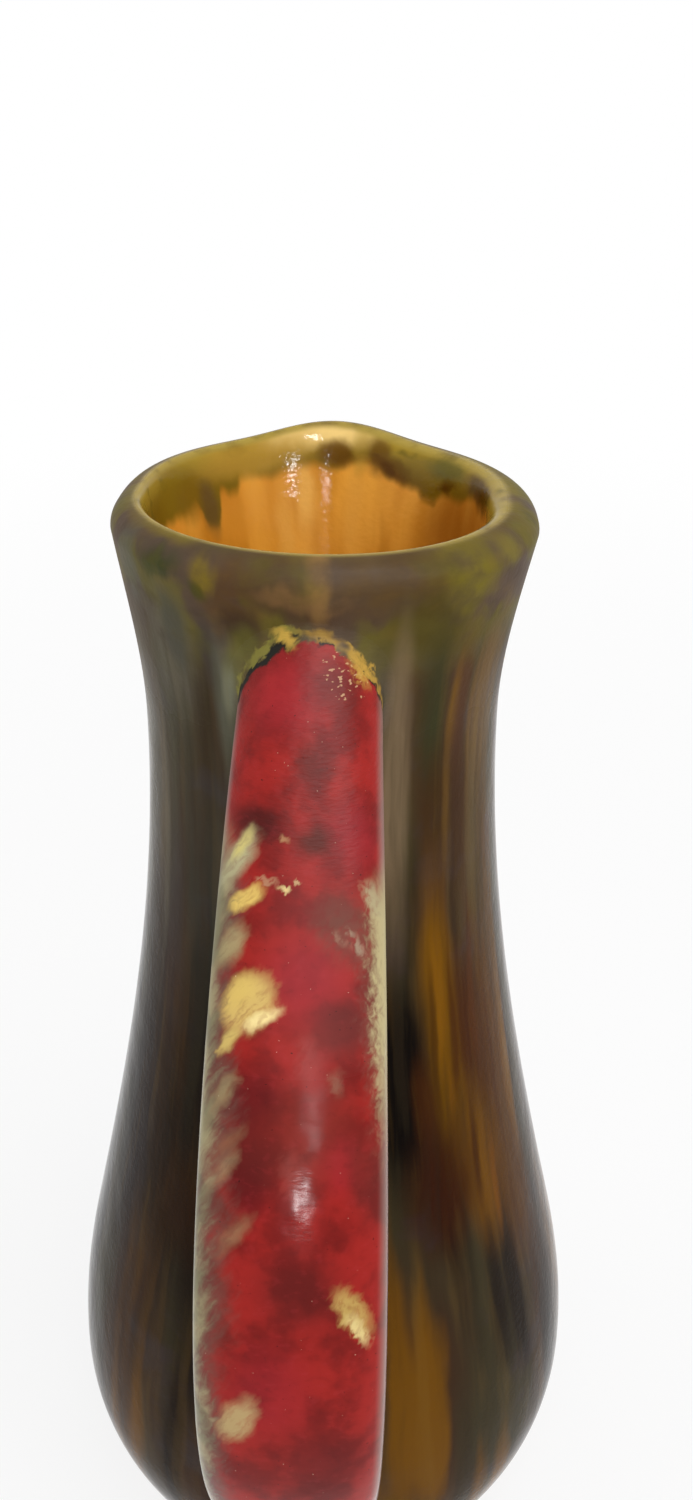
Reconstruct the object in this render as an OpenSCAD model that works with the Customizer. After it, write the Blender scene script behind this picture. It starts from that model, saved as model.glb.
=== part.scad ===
// Glazed pouring jug: a wheel-thrown body with a pulled lip, and a strap handle luted on with slip.
// Millimetres. Z is up and the foot stands on z = 0. The lip pours towards +Y, the handle is at -Y.
// Wall and glaze thicknesses on the turned walls are measured level.

/* [Body] */
// Height of the clay rim's crest above the table
height = 250; // [235:1:270]
// Outside radius of the foot at the table
foot_r = 46; // [40:0.5:52]
// Outward lean of the wall where it leaves the foot
foot_lean = 0.7; // [0.5:0.05:0.85]
// Widest radius of the belly
belly_r = 59; // [56:0.5:63]
// Height of the widest line of the belly
belly_z = 37; // [32:1:44]
// Radius at the shoulder, where the belly turns into the neck
shoulder_r = 54.2; // [51:0.2:56]
// Height of the shoulder
shoulder_z = 74; // [68:1:84]
// Inward lean of the wall at the shoulder
shoulder_lean = 0.23; // [0.15:0.01:0.3]
// Radius at the waist of the neck
waist_r = 34.2; // [31:0.2:36]
// Depth of the waist below the rim
waist_drop = 41; // [36:1:48]
// Thickness of the clay wall
wall = 5; // [4:0.25:6]
// Thickness of the clay floor
floor_t = 7; // [5:0.5:10]
// Radius of the turn between the floor and the wall, inside
floor_turn = 14; // [8:1:18]
// Width of the ring that the foot stands on
foot_ring_w = 8; // [5:0.5:12]
// Depth of the hollow inside the foot ring
foot_hollow = 3; // [2:0.25:5]

/* [Lip] */
// Radius of the rim's roll at its widest line
rim_r = 39.2; // [37:0.2:42]
// Depth of the roll's widest line below the rim's crest
roll_drop = 4; // [3:0.25:6]
// How far the roll stands out from its crest
roll_out = 5; // [3.5:0.25:6]
// How far the roll reaches in from its crest
roll_in = 2; // [1:0.25:3]
// Outward lean of the wall just under the roll
rim_lean = 0.18; // [0.1:0.02:0.3]
// Broad outward pull of the pouring side
pull_out = 9; // [4:0.5:13]
// Further outward pull at the narrow tip
tip_out = 5; // [2:0.5:8]
// Rise of the tip above the rim
tip_rise = 2; // [0:0.25:5]

/* [Handle] */
// Depth of the upper root's middle below the rim
root_drop = 25; // [23:1:30]
// Height of the lower root's middle above the table
heel_z = 68; // [60:1:80]
// How far from the axis the upper half of the spine is drawn
grip_top_out = 100; // [85:1:110]
// Depth below the rim of the point that draws the upper half
grip_top_drop = 88; // [78:1:98]
// How far from the axis the lower half of the spine is drawn
grip_low_out = 120; // [100:1:130]
// Height above the table of the point that draws the lower half
grip_low_z = 84; // [76:1:96]
// Width of the strap at the upper root
root_w = 23.5; // [20:0.5:26]
// Width of the strap at the grip
grip_w = 31; // [26:0.5:34]
// Thickness of the strap
grip_t = 14; // [11:0.5:17]
// Extra share of the strap's thickness where it spreads onto the wall
root_spread = 0.6; // [0.2:0.05:0.8]
// Thickness of the slip that lutes each root to the wall
slip_t = 1.2; // [0.6:0.1:2]

/* [Glaze] */
// Thickness of every glaze coat
glaze_t = 0.8; // [0.4:0.1:1.2]
// Height of the clay left bare above the table
bare_foot = 6; // [4:0.5:10]
// Depth of the rim glaze below the crest, outside
rim_band = 9; // [7:0.5:11]
// Depth of the rim glaze below the crest, inside
drip_depth = 16; // [10:1:24]

/* [Hidden] */
$fn = 96;

waist_z = height - waist_drop;
roll_z = height - roll_drop;
rim_low = height - rim_band;
drip_low = height - drip_depth;
crest_r = rim_r - roll_out;
floor_z = foot_hollow + floor_t;
inner_turn_z = floor_z + floor_turn;

// Sharpness of the broad pull and of the tip round the rim
pull_power = 1.6;
tip_power = 22;
half_steps = 40;

// Steps in each stretch of the wall's outline
foot_steps = 2;
belly_steps = 32;
neck_steps = 6;
collar_steps = 3;
roll_steps = 12;
turn_steps = 8;

// Outside of the clay as [height, radius, lean], from the table to the roll's widest line
knots = [
    [0, foot_r, foot_lean],
    [belly_z, belly_r, 0],
    [shoulder_z, shoulder_r, -shoulder_lean],
    [waist_z, waist_r, 0],
    [roll_z, rim_r, rim_lean],
];

// Evenly spaced heights from one to another, both ends included
function stations(from, to, count) = [for (i = [0:count]) from + (to - from) * i / count];

// The same list without its first value, to join it to one that ends there
function after_first(list) = [for (i = [1:len(list) - 1]) list[i]];

function reversed(list) = [for (i = [len(list) - 1:-1:0]) list[i]];

// Smooth curve through two knots
function between(a, b, z) =
    let (span = b[0] - a[0], u = (z - a[0]) / span, v = 1 - u)
    (1 + 2 * u) * v * v * a[1] + u * v * v * span * a[2]
    + u * u * (3 - 2 * u) * b[1] - u * u * v * span * b[2];

function knot_below(z, i = 0) = i + 2 < len(knots) && z > knots[i + 1][0] ? knot_below(z, i + 1) : i;

function outer_r(z) = let (i = knot_below(z)) between(knots[i], knots[i + 1], z);

// The wall thickens above the waist, up to the roll
function inner_r(z) =
    let (u = max(0, (z - waist_z) / (roll_z - waist_z)))
    outer_r(z) - wall - (roll_out + roll_in - wall) * u * u;

// Points on the outside and inside walls, raised off the clay by t
function outside(zs, t) = [for (z = zs) [outer_r(z) + t, z]];
function inside(zs, t) = [for (z = zs) [inner_r(z) - t, z]];

// The roll from its widest line outside, over the crest, to the inside
function roll(t) = [
    for (a = stations(0, 180, roll_steps))
        let (reach = a <= 90 ? roll_out : roll_in)
        [crest_r + (reach + t) * cos(a), roll_z + (roll_drop + t) * sin(a)]
];

// The inside of the bottom, from the axis out to the wall
function bottom(t) =
    let (turn = floor_turn - t, turn_r = inner_r(inner_turn_z) - floor_turn)
    concat(
        [[0, floor_z + t]],
        [for (a = stations(-90, 0, turn_steps)) [turn_r + turn * cos(a), inner_turn_z + turn * sin(a)]]
    );

foot_zs = stations(0, bare_foot, foot_steps);
belly_zs = stations(bare_foot, waist_z, belly_steps);
neck_zs = stations(waist_z, rim_low, neck_steps);
collar_zs = stations(rim_low, roll_z, collar_steps);
well_zs = stations(inner_turn_z, waist_z, belly_steps);
throat_zs = stations(waist_z, drip_low, neck_steps);
drip_zs = stations(drip_low, roll_z, collar_steps);
wall_zs = concat(foot_zs, after_first(belly_zs), after_first(neck_zs), after_first(collar_zs));

// A point of the lip after the potter's pull, at angle a round the jug
function pulled(p, a) =
    let (
        lift = pow(max(0, (p[1] - waist_z) / waist_drop), 2),
        broad = pow(sin(a), pull_power),
        tip = pow(sin(a), tip_power),
        r = p[0] + lift * (pull_out * broad + tip_out * tip)
    )
    [r * cos(a), r * sin(a), p[1] + lift * tip_rise * tip];

// Triangles that close a section whose points run up one side and down the other, from point first on
function section_cap(n, first) = [
    for (j = [0:n - 1])
        let (k = n - 1 - j)
        each concat(
            j + 1 < k ? [[first + j, first + k, first + j + 1]] : [],
            j + 1 < k - 1 ? [[first + j + 1, first + k, first + k - 1]] : []
        )
];

function flipped(faces) = [for (f = faces) [f[0], f[2], f[1]]];

// The pouring half of a lip piece: its section swept half round the jug through the pull
module pulled_half(section) {
    n = len(section);
    points = [for (i = [0:half_steps], p = section) pulled(p, 180 * i / half_steps)];
    walls = [
        for (i = [0:half_steps - 1], j = [0:n - 1])
            let (a = i * n + j, b = i * n + (j + 1) % n)
            each [[a, b, a + n], [b, b + n, a + n]]
    ];
    polyhedron(points, concat(walls, section_cap(n, 0), flipped(section_cap(n, half_steps * n))));
}

// The same section with its two ends at the waist drawn in and sunk into the turned wall below
waist_inset = 0.1;
waist_sink = 0.5;
function sunk(section) =
    let (last = len(section) - 1, inset = [waist_inset, waist_sink])
    [
        for (i = [0:last])
            i == 0 ? section[0] - inset : i == last ? section[last] + [inset[0], -inset[1]] : section[i]
    ];

// A piece of the lip zone: turned on the handle's side, pulled on the pouring side
module lip_zone(section, from_waist = true) {
    rotate([0, 0, 180]) rotate_extrude(angle = 180) polygon(section);
    pulled_half(from_waist ? sunk(section) : section);
}

// Everything within the outside of the wall, raised by t, as one solid to cut roots with
module turned_core(t) {
    rotate_extrude() polygon(concat([[0, 0]], outside(wall_zs, t), [[0, roll_z]]));
}

// Spine of the strap as [y, z], from the wall at the upper root to the wall at the lower one
root_z = height - root_drop;
spine_marks = [
    [-outer_r(root_z), root_z],
    [-grip_top_out, height - grip_top_drop],
    [-grip_low_out, grip_low_z],
    [-outer_r(heel_z), heel_z],
];

function spine(u) =
    let (v = 1 - u)
    v * v * v * spine_marks[0] + 3 * v * v * u * spine_marks[1]
    + 3 * v * u * u * spine_marks[2] + u * u * u * spine_marks[3];

function spine_run(u) =
    let (
        v = 1 - u,
        d = v * v * (spine_marks[1] - spine_marks[0]) + 2 * v * u * (spine_marks[2] - spine_marks[1])
            + u * u * (spine_marks[3] - spine_marks[2])
    )
    d / norm(d);

// How much the strap spreads at u, from 1 at its roots down to 0 along the grip
spread_span = 0.3;
function spread(u) = let (along = min(u, 1 - u) / spread_span) pow(1 - min(1, max(0, along)), 2);

// Strap section at u, raised by t: an oval at the roots, flatter along the grip
grip_power = 0.8;
section_points = 28;
function bow(v, power) = sign(v) * pow(abs(v), power);
function strap_ring(u, t) =
    let (
        middle = spine(u),
        run = spine_run(u),
        power = grip_power + (1 - grip_power) * spread(u),
        half_w = (root_w + (grip_w - root_w) * sin(180 * min(1, max(0, u)))) / 2 + t,
        half_t = grip_t / 2 * (1 + root_spread * spread(u)) + t
    )
    [
        for (k = [0:section_points - 1])
            let (a = 360 * k / section_points, rise = half_t * bow(sin(a), power))
            [half_w * bow(cos(a), power), middle[0] + rise * run[1], middle[1] - rise * run[0]]
    ];

// The strap is made this much longer at each end, as a share of its length, and cut back to the wall
strap_over = 0.05;
strap_start = -strap_over;
strap_end = 1 + strap_over;
strap_steps = 30;

// A length of the strap as one closed solid, raised by t
module strap(from, to, t) {
    n = section_points;
    count = round((to - from) * strap_steps);
    points = [for (u = stations(from, to, count)) each strap_ring(u, t)];
    walls = [
        for (i = [0:count - 1], j = [0:n - 1])
            let (a = i * n + j, b = i * n + (j + 1) % n)
            each [[a, a + n, b], [b, a + n, b + n]]
    ];
    start = [for (j = [0:n - 1]) j];
    end = [for (j = [n - 1:-1:0]) count * n + j];
    polyhedron(points, concat(walls, [start, end]));
}

// Share of the strap's length that holds either root
root_share = 0.35;

// The slip under one root: the strap's own outline, from the wall up to the handle's end
module slip_pad(from, to) {
    difference() {
        intersection() {
            strap(from, to, 0);
            turned_core(slip_t);
        }
        turned_core(0);
    }
}

// Thrown red clay, turned below the waist and pulled to a lip above it
module clay_body() {
    color("#a9714b") {
        rotate_extrude()
            polygon(concat(
                [[0, foot_hollow], [foot_r - foot_ring_w, foot_hollow], [foot_r - foot_ring_w, 0]],
                outside(foot_zs, 0),
                outside(after_first(belly_zs), 0),
                inside(reversed(well_zs), 0),
                reversed(bottom(0))
            ));
        lip_zone(concat(
            outside(neck_zs, 0),
            outside(after_first(collar_zs), 0),
            after_first(roll(0)),
            inside(after_first(reversed(drip_zs)), 0),
            inside(after_first(reversed(throat_zs)), 0)
        ));
    }
}

// Pulled strap of the same clay, its ends cut to the wall
module clay_handle() {
    color("#a9714b")
        difference() {
            strap(strap_start, strap_end, 0);
            turned_core(slip_t);
        }
}

module upper_luting() {
    color("#b98a66") slip_pad(strap_start, root_share);
}

module lower_luting() {
    color("#b98a66") slip_pad(1 - root_share, strap_end);
}

// Dark streaked coat over the outside, open round the handle's roots
module outer_glaze() {
    color("#4a4030")
        difference() {
            union() {
                rotate_extrude()
                    polygon(concat(outside(belly_zs, glaze_t), outside(reversed(belly_zs), 0)));
                lip_zone(concat(outside(neck_zs, glaze_t), outside(reversed(neck_zs), 0)));
            }
            strap(strap_start, strap_end, glaze_t);
        }
}

// Olive coat over the roll, run down inside the mouth
module rim_glaze() {
    color("#6f6430")
        lip_zone(concat(
            outside(collar_zs, glaze_t),
            after_first(roll(glaze_t)),
            inside(after_first(reversed(drip_zs)), glaze_t),
            inside(drip_zs, 0),
            after_first(reversed(roll(0))),
            outside(after_first(reversed(collar_zs)), 0)
        ), false);
}

// Amber lining of the inside, up to the rim glaze
module inner_glaze() {
    color("#c8832a") {
        rotate_extrude()
            polygon(concat(
                bottom(0),
                inside(after_first(well_zs), 0),
                inside(reversed(well_zs), glaze_t),
                reversed(bottom(glaze_t))
            ));
        lip_zone(concat(inside(throat_zs, 0), inside(reversed(throat_zs), glaze_t)));
    }
}

// Red coat round the whole strap, down to the clay wall at both roots
module handle_glaze() {
    color("#9b2328")
        difference() {
            strap(strap_start, strap_end, glaze_t);
            strap(strap_start, strap_end, 0);
            turned_core(0);
        }
}

clay_body();
clay_handle();
upper_luting();
lower_luting();
outer_glaze();
rim_glaze();
inner_glaze();
handle_glaze();
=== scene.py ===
import math

import bpy
import numpy as np
from mathutils import Matrix, Vector


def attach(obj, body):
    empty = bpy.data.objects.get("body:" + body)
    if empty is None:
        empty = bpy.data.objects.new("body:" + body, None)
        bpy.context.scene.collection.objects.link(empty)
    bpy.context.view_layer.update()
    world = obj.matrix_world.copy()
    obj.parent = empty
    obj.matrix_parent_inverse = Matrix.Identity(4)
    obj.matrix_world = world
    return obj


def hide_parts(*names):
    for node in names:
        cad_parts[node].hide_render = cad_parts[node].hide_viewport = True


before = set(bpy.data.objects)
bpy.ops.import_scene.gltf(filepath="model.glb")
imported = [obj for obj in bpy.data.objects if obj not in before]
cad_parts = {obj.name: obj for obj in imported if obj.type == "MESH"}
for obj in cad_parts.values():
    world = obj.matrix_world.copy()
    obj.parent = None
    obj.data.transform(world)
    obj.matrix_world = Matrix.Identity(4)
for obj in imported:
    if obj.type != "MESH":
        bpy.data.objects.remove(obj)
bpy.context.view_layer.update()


# The thrown body. Red-brown earthenware, turned on a wheel, with a foot ring trimmed once it was dry and a
# lip pulled out with a finger while it was wet. Glaze hides all of it but the foot.
mm = 0.001
height = 250.0
waist_z = 209.0
roll_z = 246.0
wall = 5.0
roll_out = 5.0
roll_in = 2.0
roll_drop = height - roll_z
# Outside of the clay as height, radius and lean, from the table to the widest line of the rolled rim
wall_knots = (
    (0.0, 46.0, 0.7),
    (37.0, 59.0, 0.0),
    (74.0, 54.2, -0.23),
    (waist_z, 34.2, 0.0),
    (roll_z, 39.2, 0.18),
)
crest_r = wall_knots[-1][1] - roll_out
# The pulled lip and its small tip: how far out, how high, and a power that is higher the narrower it is
pull_out = 9.0
pull_power = 1.6
tip_out = 5.0
tip_rise = 2.0
tip_power = 22.0
# Unevenness of the hand: the rim dips to the right and to the back, and its wall is thicker on the right
rim_dip = (0.015, 0.019)
roll_shift = 0.8
throat_shift = -0.9
foot_ring_w = 8.0
foot_hollow = 3.0
foot_edge = 1.2
floor_z = 10.0
floor_turn = 14.0
turns = 224


def wall_radius(z):
    """Outside radius of the clay at the heights z, a smooth curve through the knots."""
    z = np.asarray(z, float)
    radius = np.full(z.shape, wall_knots[-1][1])
    for low, high in zip(wall_knots, wall_knots[1:]):
        span = high[0] - low[0]
        u = np.clip((z - low[0]) / span, 0, 1)
        v = 1 - u
        curve = (1 + 2 * u) * v * v * low[1] + u * v * v * span * low[2]
        curve = curve + u * u * (3 - 2 * u) * high[1] - u * u * v * span * high[2]
        radius = np.where((z >= low[0]) & (z <= high[0]), curve, radius)
    return radius


def throat_radius(z):
    """Inside radius of the clay, where the wall thickens above the waist."""
    u = np.clip((np.asarray(z, float) - waist_z) / (roll_z - waist_z), 0, 1)
    return wall_radius(z) - wall - (roll_out + roll_in - wall) * u * u


def uneven(x, y, z, inside):
    """Moves points of the neck and rim by the hand's unevenness, which clay, glaze and handle share."""
    lift = np.clip((z - waist_z) / (height - waist_z), 0, None) ** 2
    shift = lift * (roll_shift * (1 - inside) + throat_shift * inside)
    return np.stack([x + shift, y + 0 * z, z - lift * (rim_dip[0] * x + rim_dip[1] * y)], -1)


def all_round(count):
    return np.linspace(0, 2 * math.pi, count, endpoint=False)


def spin(section):
    """Section rows of radius, height and share of the inside, turned round the axis with the pulled lip."""
    radius, z, inside = np.moveaxis(section, -1, 0)
    angle = all_round(turns)[None, :]
    lift = np.clip((z - waist_z) / (height - waist_z), 0, None) ** 2
    facing = np.clip(np.sin(angle), 0, None)
    tip = facing ** tip_power
    out = radius + lift * (pull_out * facing ** pull_power + tip_out * tip)
    return uneven(out * np.cos(angle), out * np.sin(angle), z + lift * tip_rise * tip, inside) * mm


def stack_rows(*parts):
    """Runs of section rows joined into one, each the same all round unless it was given angle by angle."""
    wide = [np.broadcast_to(p if p.ndim == 3 else p[:, None, :], (len(p), turns, 3)) for p in parts]
    return np.concatenate(wide)


def roll_rows(raised, steps):
    """The rolled rim from its widest line over the crest to the inside, as radius, height and inside."""
    over = np.linspace(0, math.pi, steps)
    reach = np.where(over <= math.pi / 2, roll_out, roll_in) + raised
    inside = (1 - np.cos(over)) / 2
    z = roll_z + (roll_drop + raised) * np.sin(over)
    return np.stack([crest_r + reach * np.cos(over), z, inside], -1)


def wall_rows(heights, raised):
    return np.stack([wall_radius(heights) + raised, heights, np.zeros(np.shape(heights))], -1)


def throat_rows(heights, raised):
    return np.stack([throat_radius(heights) - raised, heights, np.ones(np.shape(heights))], -1)


def well_rows(raised, steps, floor_steps):
    """The turn from the inside wall to the floor, and the floor in to the axis."""
    angle = np.linspace(0, -math.pi / 2, steps)
    turn_r = throat_radius(floor_z + floor_turn) - floor_turn
    turn = floor_turn - raised
    curve = np.stack([turn_r + turn * np.cos(angle), floor_z + floor_turn + turn * np.sin(angle)], -1)
    flat = np.stack([np.linspace(turn_r, 0, floor_steps), np.full(floor_steps, floor_z + raised)], -1)
    both = np.concatenate([curve, flat[1:]])
    return np.concatenate([both, np.ones((len(both), 1))], 1)


crease = math.radians(50)


def mesh_piece(name, points, faces):
    mesh = bpy.data.meshes.new(name)
    mesh.from_pydata(np.asarray(points).tolist(), [], faces)
    mesh.update()
    mesh.polygons.foreach_set("use_smooth", [True] * len(mesh.polygons))
    mesh.set_sharp_from_angle(angle=crease)
    piece = bpy.data.objects.new(name, mesh)
    bpy.context.scene.collection.objects.link(piece)
    return piece


def looped(count):
    """Pairs of neighbours among rings that close in a loop."""
    return [(i, (i + 1) % count) for i in range(count)]


def ring_faces(bands, count):
    """Faces between pairs of rings, each ring having the same count of points and closed on itself."""
    faces = []
    for low, high in bands:
        for k, after in looped(count):
            faces.append((low * count + k, low * count + after, high * count + after, high * count + k))
    return faces


def turned_mesh(name, section, loop):
    """A closed mesh spun from section rows: a loop of rows, or a run of rows from axis to axis."""
    grid = spin(section)
    count = len(grid)
    if loop:
        points = grid.reshape(-1, 3)
        bands = looped(count)
        caps = []
    else:
        middle = grid[1:-1].reshape(-1, 3)
        points = np.concatenate([middle, [grid[0].mean(0)], [grid[-1].mean(0)]])
        bands = [(i, i + 1) for i in range(count - 3)]
        first, last = len(middle), len(middle) + 1
        end = (count - 3) * turns
        caps = [(first, after, k) for k, after in looped(turns)]
        caps += [(last, end + k, end + after) for k, after in looped(turns)]
    return mesh_piece(name, points, ring_faces(bands, turns) + caps)


# The foot from the axis out: its hollow, the turn down, the inner edge of its ring and the outer edge
foot_r = wall_knots[0][1]
foot_top = 8.0
ring_in = foot_r - foot_ring_w
edge_turn = np.linspace(0, math.pi / 2, 7)
edge_in = foot_edge * (1 - np.sin(edge_turn))
edge_fall = foot_edge * (1 - np.cos(edge_turn))
hollow_r = np.concatenate([[0], np.linspace(2.0, ring_in - foot_edge, 20)])
foot_line = np.concatenate([
    np.stack([hollow_r, np.full(len(hollow_r), foot_hollow)], -1),
    np.stack([ring_in - edge_in, foot_hollow - edge_fall], -1)[1:],
    np.stack([ring_in + edge_fall, edge_in], -1),
    np.stack([foot_r - edge_in, edge_fall], -1)[:-1],
])
foot_rows = np.pad(foot_line, ((0, 0), (0, 1)))
clay_outside = np.concatenate([
    np.linspace(foot_edge, foot_top, 8),
    np.linspace(foot_top, roll_z, 90)[1:],
])
body_rows = stack_rows(
    foot_rows,
    wall_rows(clay_outside, 0.0),
    roll_rows(0.0, steps=25)[1:],
    throat_rows(np.linspace(roll_z, floor_z + floor_turn, 80)[1:], 0.0),
    well_rows(0.0, steps=10, floor_steps=12)[1:],
)
thrown_body = turned_mesh("thrown_body", body_rows, loop=False)


def colour(code):
    """A colour written as six hex digits, in the linear values that a shader takes."""
    parts = [int(code[i:i + 2], 16) / 255 for i in (1, 3, 5)]
    return [c / 12.92 if c <= 0.04045 else ((c + 0.055) / 1.055) ** 2.4 for c in parts] + [1.0]


def node(tree, kind, sockets, **settings):
    """Adds a node. A socket among the values is linked, and any other value is set."""
    made = tree.nodes.new(kind)
    for name, value in settings.items():
        setattr(made, name, value)
    for key, value in sockets.items():
        if isinstance(value, bpy.types.NodeSocket):
            tree.links.new(value, made.inputs[key])
        else:
            made.inputs[key].default_value = value
    return made


def maths(tree, operation, *values):
    return node(tree, "ShaderNodeMath", dict(enumerate(values)), operation=operation).outputs[0]


def vectors(tree, operation, *values):
    return node(tree, "ShaderNodeVectorMath", dict(enumerate(values)), operation=operation).outputs[0]


def times(tree, a, b):
    return maths(tree, "MULTIPLY", a, b)


def how_long(tree, vector):
    return node(tree, "ShaderNodeVectorMath", {0: vector}, operation="LENGTH").outputs["Value"]


def ease(tree, value, low, high):
    """A soft step from 0 at low to 1 at high."""
    sockets = {0: value, 1: low, 2: high}
    return node(tree, "ShaderNodeMapRange", sockets, interpolation_type="SMOOTHSTEP").outputs[0]


def lay_over(tree, share, under, over):
    """One colour laid over another by a share."""
    return node(tree, "ShaderNodeMix", {0: share, 6: under, 7: over}, data_type="RGBA").outputs[2]


seed_step = (7.3, 3.1, 5.7)


def noise(tree, where, size, seed, detail):
    """A noise whose grain along x, y and z is given in millimetres, moved on by a seed."""
    grain = vectors(tree, "DIVIDE", where, [s * mm for s in size])
    moved = vectors(tree, "ADD", grain, [seed * step for step in seed_step])
    return node(tree, "ShaderNodeTexNoise", {"Vector": moved, "Scale": 1.0, "Detail": detail})


def cloud(tree, where, size, seed, detail=2.0):
    """Cloudy variation from 0 to 1."""
    return noise(tree, where, size, seed, detail).outputs[0]


def new_finish(name):
    """A material with its shader, its node tree and the places on the object."""
    finish = bpy.data.materials.new(name)
    finish.use_nodes = True
    tree = finish.node_tree
    shader = tree.nodes["Principled BSDF"]
    return finish, tree, shader, node(tree, "ShaderNodeTexCoord", {}).outputs["Object"]


def dents(tree, height_of, depth, under=None):
    """Bump of a depth in millimetres, laid over another bump where one is given."""
    sockets = {"Height": height_of, "Distance": depth * mm, "Strength": 1.0}
    if under is not None:
        sockets["Normal"] = under
    return node(tree, "ShaderNodeBump", sockets).outputs[0]


clay_finish, tree, shader, where = new_finish("fired_clay")
grog = cloud(tree, where, (1.2, 1.2, 1.2), 1, 4.0)
warm = cloud(tree, where, (18, 18, 18), 2)
clay_tone = lay_over(tree, ease(tree, warm, 0.35, 0.65), colour("#8d5636"), colour("#a9714b"))
clay_tone = lay_over(tree, ease(tree, grog, 0.58, 0.7), clay_tone, colour("#c99c74"))
clay_tone = lay_over(tree, ease(tree, grog, 0.36, 0.28), clay_tone, colour("#5a3420"))
from_axis = how_long(tree, vectors(tree, "MULTIPLY", where, (1, 1, 0)))
ring_pitch = 1.8
turning = maths(tree, "SINE", times(tree, from_axis, 2 * math.pi / (ring_pitch * mm)))
tree.links.new(clay_tone, shader.inputs["Base Color"])
shader.inputs["Roughness"].default_value = 0.82
tree.links.new(dents(tree, grog, 0.25, dents(tree, turning, 0.06)), shader.inputs["Normal"])

thrown_body.data.materials.append(clay_finish)
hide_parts("clay_body")
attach(thrown_body, "root")


# The clay of the handle and the slip that lutes its two ends to the wall. The strap is pulled from the same
# clay as the body. Both stay as they are built, shut in under the glaze.
slip_finish, tree, shader, where = new_finish("fired_slip")
grit = cloud(tree, where, (0.8, 0.8, 0.8), 3, 3.0)
slip_tone = lay_over(tree, ease(tree, grit, 0.4, 0.6), colour("#a87a58"), colour("#c29a78"))
tree.links.new(slip_tone, shader.inputs["Base Color"])
shader.inputs["Roughness"].default_value = 0.85
tree.links.new(dents(tree, grit, 0.15), shader.inputs["Normal"])

shut_in = {"clay_handle": clay_finish, "upper_luting": slip_finish, "lower_luting": slip_finish}
for shut_node, shut_finish in shut_in.items():
    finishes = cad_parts[shut_node].data.materials
    finishes.clear()
    finishes.append(shut_finish)


# The dark coat. A lead glaze poured over the outside, which ran in the kiln into soft upright streaks of
# olive, brown, ochre and near black. It stops in a thick uneven edge just above the foot.
coat = 0.65
off_clay = 0.03
coat_back = off_clay * 0.5
bare_foot = 6.0
rim_low = 241.0
edge_round = 1.4
edge_top = 14.0
neck_top = 232.0
bead = 0.35
bead_z = 1.8
bead_half = 1.5
edge_waver = 0.7
waver_reach = 7.0

edge_heights = bare_foot + edge_round * (1 - np.cos(np.linspace(0, math.pi / 2, 8)))
coat_heights = np.concatenate([
    edge_heights,
    np.linspace(bare_foot + edge_round, edge_top, 8)[1:],
    np.linspace(edge_top, neck_top, 92)[1:],
    np.linspace(neck_top, rim_low, 14)[1:],
])
edge_share = np.clip((coat_heights - bare_foot) / edge_round, 0, 1)
edge_swell = bead * np.exp(-((coat_heights - bare_foot - bead_z) / bead_half) ** 2)
coat_thickness = off_clay + (coat + edge_swell - off_clay) * np.sqrt(1 - (1 - edge_share) ** 2)
# Three wide waves and seven smaller ones go round the lower edge
round_angle = all_round(turns)
waver = edge_waver * (np.sin(3 * round_angle + 0.6) + 0.6 * np.sin(7 * round_angle + 2.1)) / 1.6
waver_fade = np.exp(-((coat_heights - bare_foot) / waver_reach) ** 2)
wavering = coat_heights[:, None] + waver_fade[:, None] * waver[None, :]
dark_skin = wall_rows(wavering, coat_thickness[:, None])
dark_back = wall_rows(wavering, coat_back)
dark_coat = turned_mesh("dark_coat", stack_rows(dark_skin, dark_back[:0:-1]), loop=True)

drum_r = 40.0


def on_drum(azimuth, z):
    """A place on the outside, laid on an even drum, its azimuth in degrees from the handle to the right."""
    turn = math.radians(azimuth)
    return (drum_r * math.sin(turn) * mm, -drum_r * math.cos(turn) * mm, z * mm)


def drum_place(tree, where, upward):
    """Where a point lies on the drum, so that runs of glaze follow the flare of the wall."""
    outward = vectors(tree, "NORMALIZE", vectors(tree, "MULTIPLY", where, (1, 1, 0)))
    ring = vectors(tree, "MULTIPLY", outward, (drum_r * mm, drum_r * mm, 0))
    return vectors(tree, "ADD", ring, node(tree, "ShaderNodeCombineXYZ", {2: upward}).outputs[0])


def stirred(tree, where, size, amount, seed):
    """Places pushed about by a cloudy flow, so that edges drawn on them come out ragged."""
    flow = noise(tree, where, size, seed, 3.0).outputs[1]
    push = vectors(tree, "SUBTRACT", flow, (0.5, 0.5, 0.5))
    return vectors(tree, "ADD", where, vectors(tree, "MULTIPLY", push, [a * 2 * mm for a in amount]))


def splash(tree, where, spot, reach, soft, lean=0.0):
    """Share of a splash of glaze: 1 within its reach in millimetres, 0 outside, with a soft edge."""
    away = vectors(tree, "SUBTRACT", where, spot)
    if lean:
        level, upright = math.cos(math.radians(lean)), math.sin(math.radians(lean))
        turned = {}
        for k, axis in enumerate(((level, 0, -upright), (0, 1, 0), (upright, 0, level))):
            along = {0: away, 1: axis}
            turned[k] = node(tree, "ShaderNodeVectorMath", along, operation="DOT_PRODUCT").outputs["Value"]
        away = node(tree, "ShaderNodeCombineXYZ", turned).outputs[0]
    shrunk = vectors(tree, "DIVIDE", away, [r * mm for r in reach])
    return ease(tree, how_long(tree, shrunk), 1 + soft, 1 - soft)


def lay_runs(tree, place, tone, runs, soft, spot_of, breaks=None):
    """Soft runs of glaze, and of painted sheen and shade where a table holds them, over a tone, broken up
    where breaks are given.

    Each is the two numbers that spot_of takes, half width, half length, colour and strength."""
    for along, z, half_w, half_l, code, strength in runs:
        share = splash(tree, place, spot_of(along, z), (half_w, half_w, half_l), soft)
        full = strength if breaks is None else times(tree, breaks, strength)
        tone = lay_over(tree, times(tree, share, full), tone, colour(code))
    return tone
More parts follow.
